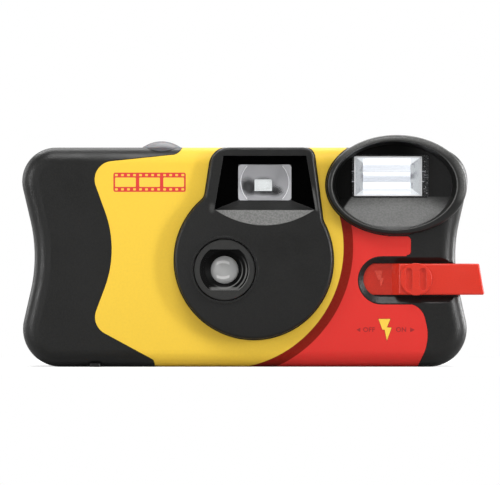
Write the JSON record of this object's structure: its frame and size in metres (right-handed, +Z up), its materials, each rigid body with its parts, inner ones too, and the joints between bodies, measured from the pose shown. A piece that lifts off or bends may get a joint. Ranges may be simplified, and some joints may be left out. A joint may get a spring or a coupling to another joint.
{
  "type": "disposable film camera",
  "caption": "Single-use 35 mm film camera with built-in flash: black casing wrapped in a yellow and red label, red flash slider, thumbwheel, lens and film inside.",
  "frame": {"origin": "centre of the base that the camera rests on", "axes": "+X to the right seen from the front, the lens looks along -Y, +Z up"},
  "size_m": [0.1228, 0.0339, 0.0616],
  "materials": {
    "casing_plastic": "fine satin texture, moulded",
    "frame_plastic": "matte black, moulded",
    "printed_label": "coated paper printed yellow, dark red and red",
    "clear_plastic": "clear moulded plastic",
    "red_plastic": "satin, moulded",
    "grey_plastic": "satin, slightly translucent",
    "wheel_plastic": "moulded, knurled rim",
    "dial_plastic": "printed with numbers",
    "shutter_metal": "satin",
    "spring_steel": "drawn wire",
    "contact_metal": "plated strip",
    "reflector_metal": "polished",
    "tube_glass": "clear glass",
    "film": "film base, glossy",
    "felt": "black velvet strip",
    "cartridge_metal": "printed tinplate",
    "cap_metal": "lacquered",
    "board_laminate": "laminate board",
    "capacitor_sleeve": "shrink sleeve",
    "transformer_tape": "wound and taped",
    "coil_resin": "dipped winding",
    "component_resin": "moulded resin",
    "cell_jacket": "plain printed jacket"
  },
  "bodies": {
    "casing": {"front_cover": "casing_plastic", "rear_cover": "casing_plastic", "wrap_label": "printed_label", "lens_retainer": "frame_plastic", "taking_lens": "clear_plastic", "viewfinder_front_lens": "clear_plastic", "viewfinder_rear_lens": "clear_plastic", "flash_window": "clear_plastic", "counter_window": "clear_plastic", "ready_window": "clear_plastic", "shutter_plate": "shutter_metal", "shutter_spring": "spring_steel", "striker_spring": "spring_steel", "main_frame": "frame_plastic", "film_strip": "film", "cartridge_shell": "cartridge_metal", "cartridge_felt": "felt", "cartridge_top_cap": "cap_metal", "cartridge_bottom_cap": "cap_metal", "thumbwheel_pawl": "frame_plastic", "flash_reflector": "reflector_metal", "xenon_tube": "tube_glass", "flash_board": "board_laminate", "flash_capacitor": "capacitor_sleeve", "flash_transformer": "transformer_tape", "trigger_coil": "coil_resin", "flash_transistor": "component_resin", "switch_contact": "contact_metal", "sync_contact": "contact_metal", "ready_lamp": "tube_glass", "battery": "cell_jacket", "battery_contact_negative": "contact_metal", "battery_contact_positive": "contact_metal"},
    "button": {"shutter_button": "grey_plastic"},
    "slider": {"flash_slider": "red_plastic"},
    "winder": {"thumbwheel": "wheel_plastic", "cartridge_spool": "frame_plastic"},
    "supply": {"supply_spool": "frame_plastic", "film_roll": "film"},
    "sprocket": {"film_sprocket": "wheel_plastic"},
    "counter": {"counter_dial": "dial_plastic"},
    "blade": {"shutter_blade": "shutter_metal"},
    "striker": {"striker_lever": "frame_plastic"},
    "metering": {"metering_lever": "frame_plastic"},
    "door": {"cartridge_door": "casing_plastic"}
  },
  "joints": [
    {"name": "shutter_button_press", "type": "slide", "parent": "casing", "child": "button", "axis": [0, 0, -1], "range_m": [0, 0.0015], "stiffness_N_per_m": 300, "springref_m": -0.0005},
    {"name": "flash_switch_slide", "type": "slide", "parent": "casing", "child": "slider", "axis": [1, 0, 0], "range_m": [-0.0048, 0]},
    {"name": "thumbwheel_spin", "type": "hinge", "parent": "casing", "child": "winder", "pos_m": [-0.0395, 0.0004, 0.05], "axis": [0, 0, 1], "continuous": true},
    {"name": "supply_spool_spin", "type": "hinge", "parent": "casing", "child": "supply", "pos_m": [0.03, 0.0016, 0.026], "axis": [0, 0, 1], "continuous": true},
    {"name": "film_sprocket_spin", "type": "hinge", "parent": "casing", "child": "sprocket", "pos_m": [-0.0195, 0.00295, 0.04], "axis": [0, 0, 1], "continuous": true},
    {"name": "counter_dial_spin", "type": "hinge", "parent": "casing", "child": "counter", "pos_m": [-0.0102, 0.004, 0.0538], "axis": [0, 0, 1], "continuous": true},
    {"name": "shutter_blade_pivot", "type": "hinge", "parent": "casing", "child": "blade", "pos_m": [-0.0105, -0.0118, 0.0335], "axis": [0, 1, 0], "range_deg": [0, 30], "stiffness_Nm_per_rad": 0.0001, "springref_deg": -17.19},
    {"name": "striker_lever_pivot", "type": "hinge", "parent": "casing", "child": "striker", "pos_m": [-0.013, -0.0072, 0.0492], "axis": [0, 0, 1], "range_deg": [-12, 0], "stiffness_Nm_per_rad": 0.0005, "springref_deg": 5.73},
    {"name": "metering_lever_pivot", "type": "hinge", "parent": "casing", "child": "metering", "pos_m": [-0.0158, -0.0017, 0.0508], "axis": [0, 0, 1], "range_deg": [0, 8], "stiffness_Nm_per_rad": 0.0005, "springref_deg": -5.73},
    {"name": "cartridge_door_hinge", "type": "hinge", "parent": "casing", "child": "door", "pos_m": [-0.0395, 0.0131, 0.00055], "axis": [1, 0, 0], "range_deg": [0, 100]}
  ],
  "couplings": [
    {"joint": "supply_spool_spin", "follows": "thumbwheel_spin", "ratio": 0.6},
    {"joint": "film_sprocket_spin", "follows": "thumbwheel_spin", "ratio": 0.8},
    {"joint": "counter_dial_spin", "follows": "thumbwheel_spin", "ratio": -0.02}
  ]
}
